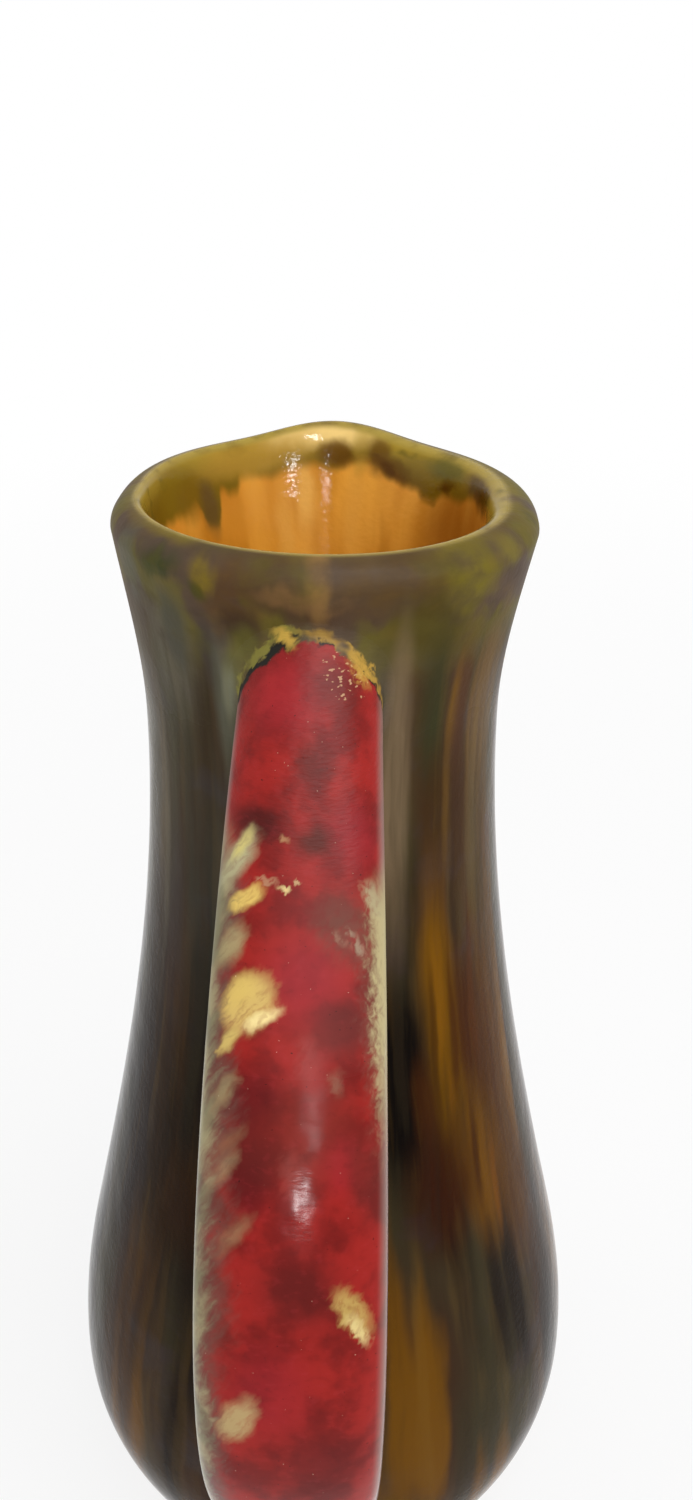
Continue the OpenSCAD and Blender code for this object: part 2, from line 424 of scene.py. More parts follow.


# Runs of the dark coat, with painted sheen and painted dark reflections among them, as azimuth, height,
# half width, half length, colour and strength
dark_runs_sheen_and_shade = (
    # All down the left, where the grey runs are partly painted reflection of a bright room
    (-50, 205, 10, 40, "#4a4737", 0.6),
    (-61, 190, 5, 60, "#594f41", 0.6),
    (-60, 160, 5, 26, "#352b24", 0.7),
    (-48, 166, 4, 26, "#3b3233", 0.6),
    (-36, 176, 6, 22, "#36362e", 0.7),
    (-37, 156, 4, 14, "#24221b", 0.7),
    # These three: near black low on the left, dark glaze and painted dark reflection of the handle
    (-64, 122, 15, 44, "#15100d", 0.5),
    (-45, 128, 12, 30, "#0e0906", 0.5),
    (-40, 112, 9, 28, "#1b1006", 0.9),
    (-36, 108, 5, 12, "#341c04", 0.6),
    (-59, 116, 6, 26, "#231c1c", 0.8),
    (-68, 98, 4, 16, "#352e26", 0.6),
    (-28, 190, 3, 24, "#4a463a", 0.6),
    (-55, 188, 1.2, 26, "#665d4c", 0.5),
    (-42, 196, 1.4, 24, "#38362c", 0.6),
    (-66, 214, 3, 16, "#6d6656", 0.5),
    (-43, 230, 6, 12, "#6a6454", 0.6),
    # By the handle
    (-28, 232, 2.4, 7, "#403d39", 0.6),
    # Pale grey-green beside the handle's left root: painted sheen
    (-24, 222, 2.4, 13, "#686b5c", 0.65),
    (-19, 244, 6, 6, "#573d20", 0.75),
    (-18, 238, 4, 3.5, "#38281b", 0.75),
    (-8, 247, 6, 4.5, "#503b2b", 0.8),
    (13, 246, 7, 5, "#58442f", 0.75),
    (-1, 243, 6, 2.0, "#4a3424", 0.8),
    (9, 242.2, 5, 1.6, "#523e2e", 0.6),
    (2.5, 247, 1.8, 5, "#906e3c", 0.7),
    (-5, 245.2, 5, 1.6, "#82603a", 0.55),
    (5, 244.0, 4, 1.3, "#7d5e3a", 0.45),
    (25, 246.5, 9, 6, "#574224", 0.8),
    (32, 239, 8, 6, "#483d14", 0.8),
    # Tan band beside the handle's right edge: painted sheen
    (25, 205, 2.8, 28, "#7e6a50", 1.0),
    (-17, 235, 2.8, 3.5, "#66622a", 0.7),
    (-20.5, 230, 2.0, 4.5, "#6f6c38", 0.6),
    # Pale grey-green beside the handle's left root: painted sheen
    (-23, 225, 1.2, 5, "#85866e", 0.55),
    # Under the rim
    (-58, 243, 4, 6, "#5f5f52", 0.6),
    (-40, 235, 3, 7, "#3f403a", 0.6),
    (-42, 247.5, 4.5, 2.6, "#3a4022", 0.85),
    (-27, 247.8, 2.6, 2.8, "#7e6a22", 0.85),
    (-29, 244.6, 1.8, 1.6, "#48480f", 0.7),
    (44, 246, 5.5, 4.5, "#766a1c", 0.8),
    (59, 248, 3.5, 3, "#7a6e2c", 0.7),
    # All down the right
    (36, 222, 3.6, 14, "#34351c", 0.85),
    (38, 212, 3, 8, "#33371f", 0.7),
    (45, 221, 1.4, 9, "#74521c", 0.75),
    (48, 216, 2, 13, "#4e3222", 0.7),
    (54, 214, 1.0, 16, "#6a4c22", 0.6),
    (61, 218, 5, 16, "#745932", 0.7),
    (40, 199, 5.5, 14, "#3c2810", 0.85),
    (44, 200, 1.0, 14, "#684a1e", 0.6),
    (50, 196, 2.4, 16, "#3c2514", 0.7),
    (58, 194, 3, 18, "#65502f", 0.6),
    (66, 176, 4, 30, "#5e3e16", 0.65),
    (32, 178, 2.6, 14, "#2a2010", 0.8),
    (26, 178, 2.5, 14, "#5b4a36", 0.6),
    (39, 180, 4, 12, "#583a18", 0.6),
    (48, 172, 1.6, 14, "#2e1808", 0.6),
    (39.5, 166, 3.4, 14, "#6e4804", 0.9),
    (41, 150, 5.0, 18, "#6a4400", 0.95),
    (43.5, 132, 5.4, 17, "#624000", 0.9),
    (45, 117, 5, 14, "#583400", 0.7),
    (39.5, 158, 1.4, 14, "#7c5006", 0.7),
    (37.5, 148, 0.8, 16, "#3c2000", 0.7),
    (44, 146, 0.9, 18, "#3a1600", 0.7),
    (42, 128, 0.8, 12, "#7c4c04", 0.6),
    (50, 148, 3.4, 16, "#3e1a02", 0.9),
    (54, 150, 1.0, 20, "#5c320c", 0.6),
    (60, 138, 5, 24, "#4a2606", 0.8),
    (63, 142, 1.0, 22, "#60401e", 0.5),
    (52, 112, 5, 17, "#664004", 0.95),
    (49, 118, 1.0, 12, "#2e0e00", 0.7),
    (55, 108, 0.9, 12, "#764404", 0.6),
    # Near black beside the handle low on the right: dark glaze and painted dark reflection of the handle
    (26, 142, 6, 24, "#0a0401", 1.2),
    (33, 134, 2.6, 10, "#432002", 0.7),
    (36, 114, 7, 13, "#321000", 0.9),
    (64, 104, 5, 18, "#523008", 0.75),
)
# The colour of the outside, which goes on under the rim's coat and at the handle's roots
outside = bpy.data.node_groups.new("fired_outside", "ShaderNodeTree")
outside.interface.new_socket("Colour", in_out="OUTPUT", socket_type="NodeSocketColor")
where = node(outside, "ShaderNodeTexCoord", {}).outputs["Object"]
upward = node(outside, "ShaderNodeSeparateXYZ", {0: where}).outputs[2]
flowing = stirred(outside, drum_place(outside, where, upward), (7, 7, 28), (1.6, 1.6, 5.0), 4)
wide_runs = cloud(outside, flowing, (13, 13, 110), 5)
thin_runs = cloud(outside, flowing, (9, 9, 110), 6, 1.5)
bloom = cloud(outside, flowing, (16, 16, 12), 7, 3.0)
low_down = ease(outside, upward, 0.2, 0.13)
high_up = ease(outside, upward, 0.222, 0.242)
run_tone = lay_over(outside, ease(outside, wide_runs, 0.38, 0.62), colour("#433c26"), colour("#47301f"))
run_tone = lay_over(outside, ease(outside, bloom, 0.52, 0.7), run_tone, colour("#463a36"))
run_tone = lay_over(outside, times(outside, low_down, 0.4), run_tone, colour("#1c1006"))
more_low = maths(outside, "MULTIPLY_ADD", low_down, 0.6, 0.3)
gold_share = times(outside, ease(outside, thin_runs, 0.54, 0.68), more_low)
run_tone = lay_over(outside, gold_share, run_tone, colour("#6c4608"))
black_share = times(outside, ease(outside, thin_runs, 0.46, 0.32), more_low)
run_tone = lay_over(outside, black_share, run_tone, colour("#1a0f06"))
neck_tone = lay_over(outside, ease(outside, bloom, 0.42, 0.6), colour("#5a493c"), colour("#6a6026"))
run_tone = lay_over(outside, times(outside, high_up, 0.85), run_tone, neck_tone)
wisps = cloud(outside, where, (5.5, 5.5, 4), 19, 4.0)
streaks = cloud(outside, flowing, (3.4, 3.4, 60), 18, 3.0)
fine = node(outside, "ShaderNodeMix", {0: high_up, 2: streaks, 3: wisps}).outputs[0]
run_breaks = maths(outside, "MULTIPLY_ADD", ease(outside, fine, 0.32, 0.6), 0.4, 0.62)
run_tone = lay_runs(outside, flowing, run_tone, dark_runs_sheen_and_shade, 0.6, on_drum, run_breaks)
fine_light = times(outside, ease(outside, fine, 0.5, 0.75), 0.11)
fine_dark = times(outside, ease(outside, fine, 0.5, 0.26), 0.2)
run_tone = lay_over(outside, fine_light, run_tone, colour("#8a6a30"))
run_tone = lay_over(outside, fine_dark, run_tone, colour("#1c130b"))
node(outside, "NodeGroupOutput", {"Colour": run_tone})


def glassy(tree, shader, where, drier, dimples=0.0):
    """The fired skin of the body's three coats: glassy and rippled, and drier by the share given.

    Dimples that break up the light are as deep as told, in millimetres."""
    shader.inputs["Specular IOR Level"].default_value = 0.035
    waves = cloud(tree, where, (6, 6, 9), 8, 1.0)
    grain = cloud(tree, where, (1.1, 1.1, 1.1), 9, 2.0)
    patches = maths(tree, "MULTIPLY_ADD", waves, 0.1, 0.06)
    tree.links.new(maths(tree, "MULTIPLY_ADD", drier, 0.36, patches), shader.inputs["Roughness"])
    skin = dents(tree, grain, 0.07, dents(tree, waves, 0.15))
    if dimples:
        skin = dents(tree, cloud(tree, where, (1.7, 1.7, 1.3), 10, 1.0), dimples, skin)
    tree.links.new(skin, shader.inputs["Normal"])


def fired(tree, group, sockets):
    """The colour that a group of nodes gives."""
    return node(tree, "ShaderNodeGroup", sockets, node_tree=group).outputs["Colour"]


dark_finish, tree, shader, where = new_finish("dark_run_glaze")
tree.links.new(fired(tree, outside, {}), shader.inputs["Base Color"])
upward = node(tree, "ShaderNodeSeparateXYZ", {0: where}).outputs[2]
glassy(tree, shader, where, drier=ease(tree, upward, 0.2, 0.236))

dark_coat.data.materials.append(dark_finish)
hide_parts("outer_glaze")
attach(dark_coat, "root")


# The rim's coat. An olive glaze brushed over the rolled rim, thin and pale where it breaks over the edge,
# and run down inside the mouth in drips.
drip_low = 234.0
collar_heights = np.linspace(rim_low, roll_z, 9)
drip_heights = np.linspace(roll_z, drip_low, 20)


def rim_section(raised):
    return np.concatenate([
        wall_rows(collar_heights, raised),
        roll_rows(raised, steps=37)[1:],
        throat_rows(drip_heights[1:], raised),
    ])


rim_skin = rim_section(coat)
rim_coat = turned_mesh("rim_coat", stack_rows(rim_skin, rim_section(coat_back)[::-1]), loop=True)


def run_along(section):
    """How far each row of a section lies from its first row along the surface, in metres."""
    steps = np.hypot(np.diff(section[:, 0]), np.diff(section[:, 1]))
    return np.concatenate([[0], np.cumsum(steps)]) * mm


def store(piece, name, values):
    layer = piece.data.attributes.new(name, "FLOAT", "POINT")
    layer.data.foreach_set("value", np.asarray(values, np.float32))


def stored(tree, name):
    return node(tree, "ShaderNodeAttribute", {}, attribute_name=name).outputs["Fac"]


# How far each row runs from the rim's crest, outside below 0 and inside above
rim_run = run_along(rim_skin)
from_crest = rim_run - rim_run[int(np.argmax(rim_skin[:, 1]))]
store(rim_coat, "from_crest", np.repeat(np.concatenate([from_crest, from_crest[::-1]]), turns))

# Blotches inside the mouth, the first a pale lip partly painted highlight, as azimuth, depth below the
# crest, half width, half depth, colour and strength
mouth_blotches_and_highlight = (
    # Pale lip top: thin glaze, and a painted highlight
    (-176, 2.2, 10, 2.6, "#f4d082", 0.95),
    (-118, 6, 9, 5, "#846a18", 0.75),
    (-154, 4.5, 13, 3.4, "#b38b34", 0.75),
    (-126, 9, 6, 4, "#7c5c18", 0.6),
    (-134.5, 12, 2.6, 5, "#644c26", 0.85),
    (179, 6.2, 3.4, 2.0, "#644110", 0.85),
    (172, 4.8, 1.7, 3.6, "#a28432", 0.6),
    (166, 4.8, 2.8, 3.2, "#684811", 0.85),
    (159, 6.6, 3.6, 1.9, "#5f3d0a", 0.8),
    (148, 4.5, 9, 2.6, "#7c682a", 0.6),
    (138, 3.4, 6, 2.2, "#5b5a2c", 0.7),
    (119, 3.2, 6, 2.4, "#4e3c30", 0.75),
    (108, 4.6, 6, 2.6, "#45290a", 0.75),
)
# Drips of the olive over the amber as azimuth, half width and how much deeper they reach
rim_drips = (
    (-112, 14, 2.6),
    (-135, 2.8, 6.5),
    (-145.5, 1.6, 1.8),
    (170, 4, -2.0),
    (154, 2.0, 1.0),
    (144.5, 3.0, 1.4),
    (108, 11, -3.2),
    (66, 3.0, 4.0),
    (31, 4.5, 5.5),
    (4, 2.5, 3.0),
    (-34, 3.5, 6.0),
    (-72, 2.5, 3.5),
)
# Streaks in the amber, with painted light on the left of the mouth and painted shade on the right, given as
# the blotches are
amber_streaks_light_and_shade = (
    (-171, 12, 2.0, 7, "#ecb45a", 0.65),
    (-163, 21, 2.2, 9, "#e0a448", 0.55),
    (173, 16, 1.8, 8, "#d8983e", 0.4),
    (-113, 13, 3, 3, "#e0922e", 0.6),
    # Painted light on the left of the mouth
    (-142, 15, 8, 7, "#d68f30", 0.7),
    # Painted shade: the two below darken the amber on the right of the mouth
    (130, 16, 10, 12, "#8c4e0c", 0.75),
    (110, 18, 8, 12, "#8f500c", 0.7),
)
# The colour inside by its depth below the crest: olive down to the ends of its drips, then amber
mouth = bpy.data.node_groups.new("fired_mouth", "ShaderNodeTree")
mouth.interface.new_socket("Depth", in_out="INPUT", socket_type="NodeSocketFloat")
mouth.interface.new_socket("Colour", in_out="OUTPUT", socket_type="NodeSocketColor")
depth = node(mouth, "NodeGroupInput", {}).outputs["Depth"]
where = node(mouth, "ShaderNodeTexCoord", {}).outputs["Object"]
lining_place = drum_place(mouth, where, depth)
melting = stirred(mouth, lining_place, (5, 5, 6), (1.3, 1.3, 1.5), 11)
swirling = stirred(mouth, lining_place, (9, 9, 14), (3.0, 3.0, 3.0), 32)
amber_runs = cloud(mouth, swirling, (8, 8, 45), 12, 2.0)
amber_wide = cloud(mouth, swirling, (16, 16, 60), 13)
amber = lay_over(mouth, ease(mouth, amber_runs, 0.34, 0.7), colour("#d08a2a"), colour("#e4a03c"))
amber = lay_over(mouth, ease(mouth, amber_wide, 0.5, 0.7), amber, colour("#ae6b13"))
# Painted shade: the amber darkens deeper down the mouth
amber = lay_over(mouth, ease(mouth, depth, 0.03, 0.12), amber, colour("#9c5a12"))
amber = lay_runs(mouth, swirling, amber, amber_streaks_light_and_shade, 0.7, on_drum)
olive_cloud = cloud(mouth, melting, (11, 11, 6), 14, 3.0)
olive = lay_over(mouth, ease(mouth, depth, 0.001, 0.008), colour("#a68a30"), colour("#7a5f12"))
olive = lay_over(mouth, ease(mouth, olive_cloud, 0.55, 0.7), olive, colour("#6a5c1c"))
drip_edge = cloud(mouth, melting, (6, 6, 60), 15, 1.5)
drip_depth = maths(mouth, "MULTIPLY_ADD", drip_edge, 0.004, 0.0064)
drip_middle = 10
drip_half = 60
for azimuth, half_w, deeper in rim_drips:
    share = splash(mouth, melting, on_drum(azimuth, drip_middle), (half_w, half_w, drip_half), 0.6)
    drip_depth = maths(mouth, "MULTIPLY_ADD", share, deeper * mm, drip_depth)
below_drip = maths(mouth, "SUBTRACT", depth, drip_depth)
mouth_tone = lay_over(mouth, ease(mouth, below_drip, -0.0014, 0.0016), olive, amber)
mouth_tone = lay_runs(mouth, melting, mouth_tone, mouth_blotches_and_highlight, 0.55, on_drum)
line_above = ease(mouth, below_drip, -0.0042, -0.0012)
line_below = ease(mouth, below_drip, 0.0014, -0.0006)
dark_line = times(mouth, line_above, line_below)
dark_stretch = splash(mouth, lining_place, on_drum(136, 8), (26, 26, 40), 0.4)
dark_breaks = maths(mouth, "MULTIPLY_ADD", ease(mouth, olive_cloud, 0.4, 0.54), 0.7, 0.3)
dark_line = times(mouth, dark_line, times(mouth, dark_stretch, dark_breaks))
mouth_tone = lay_over(mouth, times(mouth, dark_line, 0.95), mouth_tone, colour("#553407"))
node(mouth, "NodeGroupOutput", {"Colour": mouth_tone})

# Patches on the outside of the rim, with the height counted down from the crest
rim_patches = (
    (-52, -2.5, 10, 3.5, "#7e6a1c", 0.85),
    (-82, -3, 8, 5, "#726330", 0.75),
    (-24, -3.5, 7, 4, "#4e4420", 0.7),
    (-9, -4, 6, 4, "#503a28", 0.8),
    (14, -4, 7, 4, "#5c482a", 0.75),
    (2.5, -4, 2.0, 5, "#9a7540", 0.9),
    (28, -3.5, 6, 4, "#503c20", 0.8),
    (48, -3.5, 8, 4, "#73621a", 0.8),
    (72, -3, 8, 4, "#5e4814", 0.75),
)
rim_finish, tree, shader, where = new_finish("olive_rim_glaze")
crest_away = stored(tree, "from_crest")
dark_side = fired(tree, outside, {})
mouth_side = fired(tree, mouth, {"Depth": crest_away})
rim_wear = cloud(tree, where, (8, 8, 5), 17, 3.0)
rim_patch = cloud(tree, where, (14, 14, 9), 16, 2.0)
rim_olive = lay_over(tree, ease(tree, rim_patch, 0.42, 0.6), colour("#66522f"), colour("#7c6b24"))
rim_place = stirred(tree, drum_place(tree, where, crest_away), (6, 6, 4), (2.0, 2.0, 1.0), 20)
rim_breaks = maths(tree, "MULTIPLY_ADD", ease(tree, rim_wear, 0.36, 0.6), 0.5, 0.5)
rim_olive = lay_runs(tree, rim_place, rim_olive, rim_patches, 0.6, on_drum, rim_breaks)
olive_reach = maths(tree, "MULTIPLY_ADD", rim_wear, 0.008, -0.0085)
rim_share = times(tree, ease(tree, crest_away, olive_reach, -0.0005), 0.8)
rim_tone = lay_over(tree, rim_share, dark_side, rim_olive)
rim_tone = lay_over(tree, ease(tree, crest_away, 0.0006, 0.0022), rim_tone, mouth_side)
thin_line = maths(tree, "ABSOLUTE", maths(tree, "SUBTRACT", crest_away, 0.0006))
thin_share = times(tree, ease(tree, thin_line, 0.002, 0.0003), ease(tree, rim_wear, 0.2, 0.55))
rim_tone = lay_over(tree, times(tree, thin_share, 0.85), rim_tone, colour("#b59c48"))
tree.links.new(rim_tone, shader.inputs["Base Color"])
mouth_dimples = 0.06
glassy(tree, shader, where, drier=ease(tree, crest_away, 0.001, -0.002), dimples=mouth_dimples)

rim_coat.data.materials.append(rim_finish)
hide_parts("rim_glaze")
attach(rim_coat, "root")


# The lining. A clear amber glaze poured in, swilled round and tipped out again, which covers the inside
# from the floor up to the drips of the rim's coat.
throat_z = 226.0
lining_heights = np.concatenate([
    np.linspace(drip_low, throat_z, 10),
    np.linspace(throat_z, floor_z + floor_turn, 70)[1:],
])


def lining_section(raised):
    well = well_rows(raised, steps=12, floor_steps=14)
    return np.concatenate([throat_rows(lining_heights, raised), well[1:]])


lining_skin = lining_section(coat)
lining_path = stack_rows(lining_section(coat_back)[::-1], lining_skin)
amber_lining = turned_mesh("amber_lining", lining_path, loop=False)
lining_run = run_along(lining_skin) + from_crest[-1]
lining_depth = np.concatenate([lining_run[::-1], lining_run])
lining_rows = np.repeat(lining_depth[1:-1], turns)
store(amber_lining, "from_crest", np.concatenate([lining_rows, lining_depth[[0, -1]]]))

amber_finish, tree, shader, where = new_finish("amber_lining_glaze")
crest_away = stored(tree, "from_crest")
mouth_side = fired(tree, mouth, {"Depth": crest_away})
tree.links.new(mouth_side, shader.inputs["Base Color"])
glassy(tree, shader, where, drier=0.0, dimples=mouth_dimples)

amber_lining.data.materials.append(amber_finish)
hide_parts("inner_glaze")
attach(amber_lining, "root")


# The handle's coat. A thick red glaze over the pulled strap, puckered by its own shrinking, with cream and
# ochre splashes down its edges. At both roots it runs out in a fillet onto the wall, over the slip.
root_z = 225.0
heel_z = 68.0
root_w = 23.5
grip_w = 31.0
grip_t = 14.0
root_spread = 0.6
spread_span = 0.3
# Below 1 the grip's section is squarer than an oval
grip_power = 0.8
strap_over = 0.05
# Marks of the strap's middle line as y and height: its root, two that draw the bend out, and its heel
strap_marks = np.array([
    [-float(wall_radius(root_z)), root_z],
    [-100.0, 162.0],
    [-120.0, 84.0],
    [-float(wall_radius(heel_z)), heel_z],
])
fillet = 2.2
fillet_pull = 0.7
fillet_steps = 10
skirt_run = 1.6
skirt_sink = 0.05
strap_rows = 130
strap_sides = 72
meet_steps = 1500
spot_steps = 1600
short_step = 0.1


def bend(t, a, b, c, d):
    """A smooth bend from a to d, drawn towards b and c."""
    s = 1 - t
    return s ** 3 * a + 3 * s * s * t * b + 3 * s * t * t * c + t ** 3 * d


def half_width(u, raised):
    """Half the strap's width at the shares u of its length."""
    return (root_w + (grip_w - root_w) * np.sin(math.pi * np.clip(u, 0, 1))) / 2 + raised


def strap_line(u, side, raised):
    """Points of the strap's surface at the shares u of its length, on its side lines, in millimetres."""
    v = 1 - u
    line = [bend(u, *marks) for marks in strap_marks.T]
    legs = np.diff(strap_marks, axis=0)
    run_y, run_z = [v * v * a + 2 * v * u * b + u * u * c for a, b, c in legs.T]
    speed = np.hypot(run_y, run_z)
    near = np.clip(np.minimum(u, 1 - u) / spread_span, 0, 1)
    spread = (1 - near) ** 2
    power = grip_power + (1 - grip_power) * spread
    half_w = half_width(u, raised)
    half_t = grip_t / 2 * (1 + root_spread * spread) + raised
    across = half_w * np.sign(np.cos(side)) * np.abs(np.cos(side)) ** power
    rise = half_t * np.sign(np.sin(side)) * np.abs(np.sin(side)) ** power
    return np.stack([across + 0 * u, line[0] + rise * run_z / speed, line[1] - rise * run_y / speed], -1)


def wall_place(swing, z, raised):
    """Points on the outside wall, swing being the angle from the handle's plane in radians."""
    r = wall_radius(z) + raised
    return np.stack([r * np.sin(swing), -r * np.cos(swing), z], -1)


def length_of(a):
    return np.linalg.norm(a, axis=-1, keepdims=True)


def root_fillet(side, lower, raised):
    """Where each side line of the strap meets the wall, and the fillet that carries it on to the wall.

    Returns the shares of the length where the fillet begins and where strap meets wall, and its rows."""
    steps = np.linspace(0.5, 1 + strap_over if lower else -strap_over, meet_steps)
    lines = strap_line(steps[None, :], side[:, None], raised)
    clear = np.hypot(lines[..., 0], lines[..., 1]) - wall_radius(lines[..., 2]) - raised
    met = np.argmax(clear < 0, axis=1)
    each = np.arange(len(side))
    stretches = length_of(np.diff(lines, axis=1))[..., 0]
    gone = np.pad(np.cumsum(stretches, 1), ((0, 0), (1, 0)))
    back = gone[each, met] - fillet
    start = np.array([np.searchsorted(gone[k], back[k]) for k in each])
    share = steps[start]
    meet = lines[each, met]
    leave = lines[each, start]
    ahead = lines[each, start + 1] - leave
    swing = np.arctan2(meet[:, 0], -meet[:, 1])
    flat = np.stack([swing * np.hypot(meet[:, 0], meet[:, 1]), meet[:, 2]], -1)
    along = np.roll(flat, -1, 0) - np.roll(flat, 1, 0)
    outward = np.stack([along[:, 1], -along[:, 0]], -1)
    outward /= length_of(outward)
    outward *= np.sign(np.sum(outward * (flat - flat.mean(0)), -1, keepdims=True))

    def on_skirt(run, sink):
        spot = flat + outward * run
        return wall_place(spot[:, 0] / np.hypot(meet[:, 0], meet[:, 1]), spot[:, 1], raised - sink)

    land = on_skirt(fillet, 0.0)
    landing = on_skirt(fillet - short_step, 0.0) - land
    from_strap = leave + ahead / length_of(ahead) * length_of(meet - leave) * fillet_pull
    to_wall = land + landing / length_of(landing) * length_of(meet - land) * fillet_pull
    rows = []
    for t in np.linspace(0, 1, fillet_steps + 1)[1:]:
        rows.append(bend(t, leave, from_strap, to_wall, land))
    for k in (1, 2):
        rows.append(on_skirt(fillet + skirt_run * k / 2, skirt_sink * k / 2))
    return share, steps[met], rows


sides = all_round(strap_sides)
top_share, _, top_rows = root_fillet(sides, lower=False, raised=coat)
low_share, _, low_rows = root_fillet(sides, lower=True, raised=coat)
grip_steps = np.linspace(0, 1, strap_rows)[:, None]
grip_rows = strap_line(top_share + (low_share - top_share) * grip_steps, sides[None, :], coat)
_, top_back, _ = root_fillet(sides, lower=False, raised=off_clay)
_, low_back, _ = root_fillet(sides, lower=True, raised=off_clay)
back_rows = strap_line(top_back + (low_back - top_back) * grip_steps, sides[None, :], off_clay)
strap_skin = np.concatenate([np.array(top_rows[::-1]), grip_rows, np.array(low_rows)])
strap_grid = np.concatenate([strap_skin, back_rows[::-1]])
strap_faces = ring_faces(looped(len(strap_grid)), strap_sides)
strap_points = uneven(strap_grid[..., 0], strap_grid[..., 1], strap_grid[..., 2], 0.0)
handle_coat = mesh_piece("handle_coat", strap_points.reshape(-1, 3) * mm, strap_faces)
skin_steps = length_of(np.diff(strap_skin, axis=0))[..., 0]
skin_run = np.concatenate([np.zeros((1, strap_sides)), np.cumsum(skin_steps, 0)])
to_wall_run = fillet + skirt_run
from_root = np.minimum(skin_run, skin_run[-1] - skin_run) - to_wall_run
# The hidden back of the coat counts as far from either root
far_from_root = np.full(back_rows.size // 3, 0.02)
store(handle_coat, "from_root", np.concatenate([from_root.ravel() * mm, far_from_root]))
strap_half = np.abs(strap_grid[..., 0]).max(1, keepdims=True)
store(handle_coat, "across", (strap_grid[..., 0] / strap_half).ravel())
store(handle_coat, "outward", np.broadcast_to(np.sin(sides), strap_grid.shape[:2]).ravel())


def on_strap(across, z):
    """A place on the strap's outer face at a height, across millimetres to the right of its middle."""
    u = np.linspace(-strap_over, 0.75, spot_steps)
    face = strap_line(u, np.full(u.shape, math.pi / 2), coat)
    half = half_width(u, coat)
    near = int(np.argmin(np.abs(face[:, 2] - z)))
    side = math.acos(max(-1.0, min(1.0, across / half[near])))
    spots = strap_line(u, np.full(u.shape, side), coat)
    near = int(np.argmin(np.abs(spots[:, 2] - z)))
    return (across * mm, spots[near, 1] * mm, z * mm)


# Clouds in the red, the first partly painted sheen at the top of the strap, as place across, height, half
# width, half length, colour and strength
red_clouds_and_sheen = (
    # Brighter red at the top of the strap: red glaze, and painted sheen
    (-3, 231, 6, 6, "#a5272d", 0.7),
    (4.5, 232, 4.5, 4.5, "#64241f", 0.65),
    (2, 222, 3, 3.8, "#521a12", 0.75),
    (-7, 213.6, 5.5, 2.6, "#3f110e", 0.85),
    (2.5, 212, 3.2, 1.9, "#3a1a0c", 0.65),
    (9, 212, 4, 6, "#9a252c", 0.6),
    (1.5, 194, 6, 6, "#9f222b", 0.6),
    (8, 187, 5.5, 4.5, "#5c211c", 0.75),
    (-7, 178, 5, 5, "#5b1517", 0.7),
    (-6.5, 166, 3.6, 7, "#560e11", 0.8),
    (8, 169, 2.8, 5, "#a5222a", 0.75),
    (12, 166, 3, 14, "#62231f", 0.6),
    (4, 177, 6, 4, "#6a2a22", 0.5),
    (0, 171, 9, 5, "#6e3026", 0.45),
    (-6, 171, 5, 9, "#4c0d0e", 0.45),
    (2, 150, 6, 6, "#571815", 0.65),
    (-3, 132, 6, 8, "#9a2129", 0.5),
    (6, 116, 6, 9, "#561614", 0.65),
)
# Splashes on the red, and two painted sheen streaks down its middle, as place across, height, half width,
# half length, lean, colour, strength and softness
strap_splashes_and_sheen = (
    (-10.2, 208.2, 2.2, 6.2, 22, "#b9b48a", 0.9, 0.6),
    (-9.3, 210.4, 1.1, 3.2, 22, "#dacb7a", 0.85, 0.7),
    (-8.4, 203.8, 1.3, 3.2, 52, "#e0c068", 1.0, 0.5),
    (-2.4, 205.9, 1.2, 0.6, 0, "#e0c888", 0.95, 0.5),
    (0.2, 206.9, 0.6, 0.4, 0, "#c9a878", 0.8, 0.5),
    (-5.2, 206.6, 1.6, 0.4, 0, "#b98f6c", 0.7, 0.6),
    (-7.4, 190.4, 3.8, 5.2, 30, "#d4b469", 1.0, 0.4),
    (-8.6, 191.6, 2.0, 3.0, 30, "#ddbd66", 0.8, 0.7),
    (-5.2, 188.4, 1.0, 4.2, 48, "#f2dc98", 1.0, 0.6),
    (-10.4, 184.6, 1.0, 3.2, 25, "#d6bc6c", 0.9, 0.6),
    (7.6, 200.4, 3.8, 5.4, -28, "#6b4335", 0.7, 0.8),
    (9.6, 198.0, 0.6, 4.2, -20, "#a8947a", 0.7, 0.8),
    (7.0, 199.0, 0.5, 3.6, -30, "#98745e", 0.6, 0.8),
    (-2.6, 212.4, 0.9, 0.8, 0, "#b98c60", 0.7, 0.6),
    # Painted sheen streak down the middle of the strap
    (0.4, 168, 1.5, 14, 0, "#a44c44", 0.35, 0.9),
    (11.8, 203.0, 1.4, 3.6, -10, "#b0a680", 0.8, 0.7),
    (6.9, 180.0, 1.1, 1.9, 0, "#8d6752", 0.6, 0.8),
    # Painted sheen streak down the middle of the strap
    (2.2, 184, 1.6, 9, 0, "#a85650", 0.3, 0.9),
    (-10.6, 197, 1.8, 4.2, 22, "#b4a878", 0.75, 0.7),
    (-11.2, 177, 1.2, 4.8, 24, "#b3a878", 0.5, 0.8),
    (-9.8, 171, 0.9, 3.2, 38, "#94845f", 0.35, 0.9),
    (-11.0, 166.5, 1.2, 4.8, 28, "#b0a478", 0.4, 0.8),
    (-8.6, 158, 1.2, 4.0, 35, "#9c8862", 0.5, 0.9),
    (10.5, 146, 2.2, 4.6, -30, "#c0a25a", 0.9, 0.5),
    (11.4, 143, 1.0, 3.0, -30, "#e2cd8c", 0.85, 0.6),
    (-8.0, 126, 2.6, 4.6, 25, "#bca874", 0.85, 0.5),
)
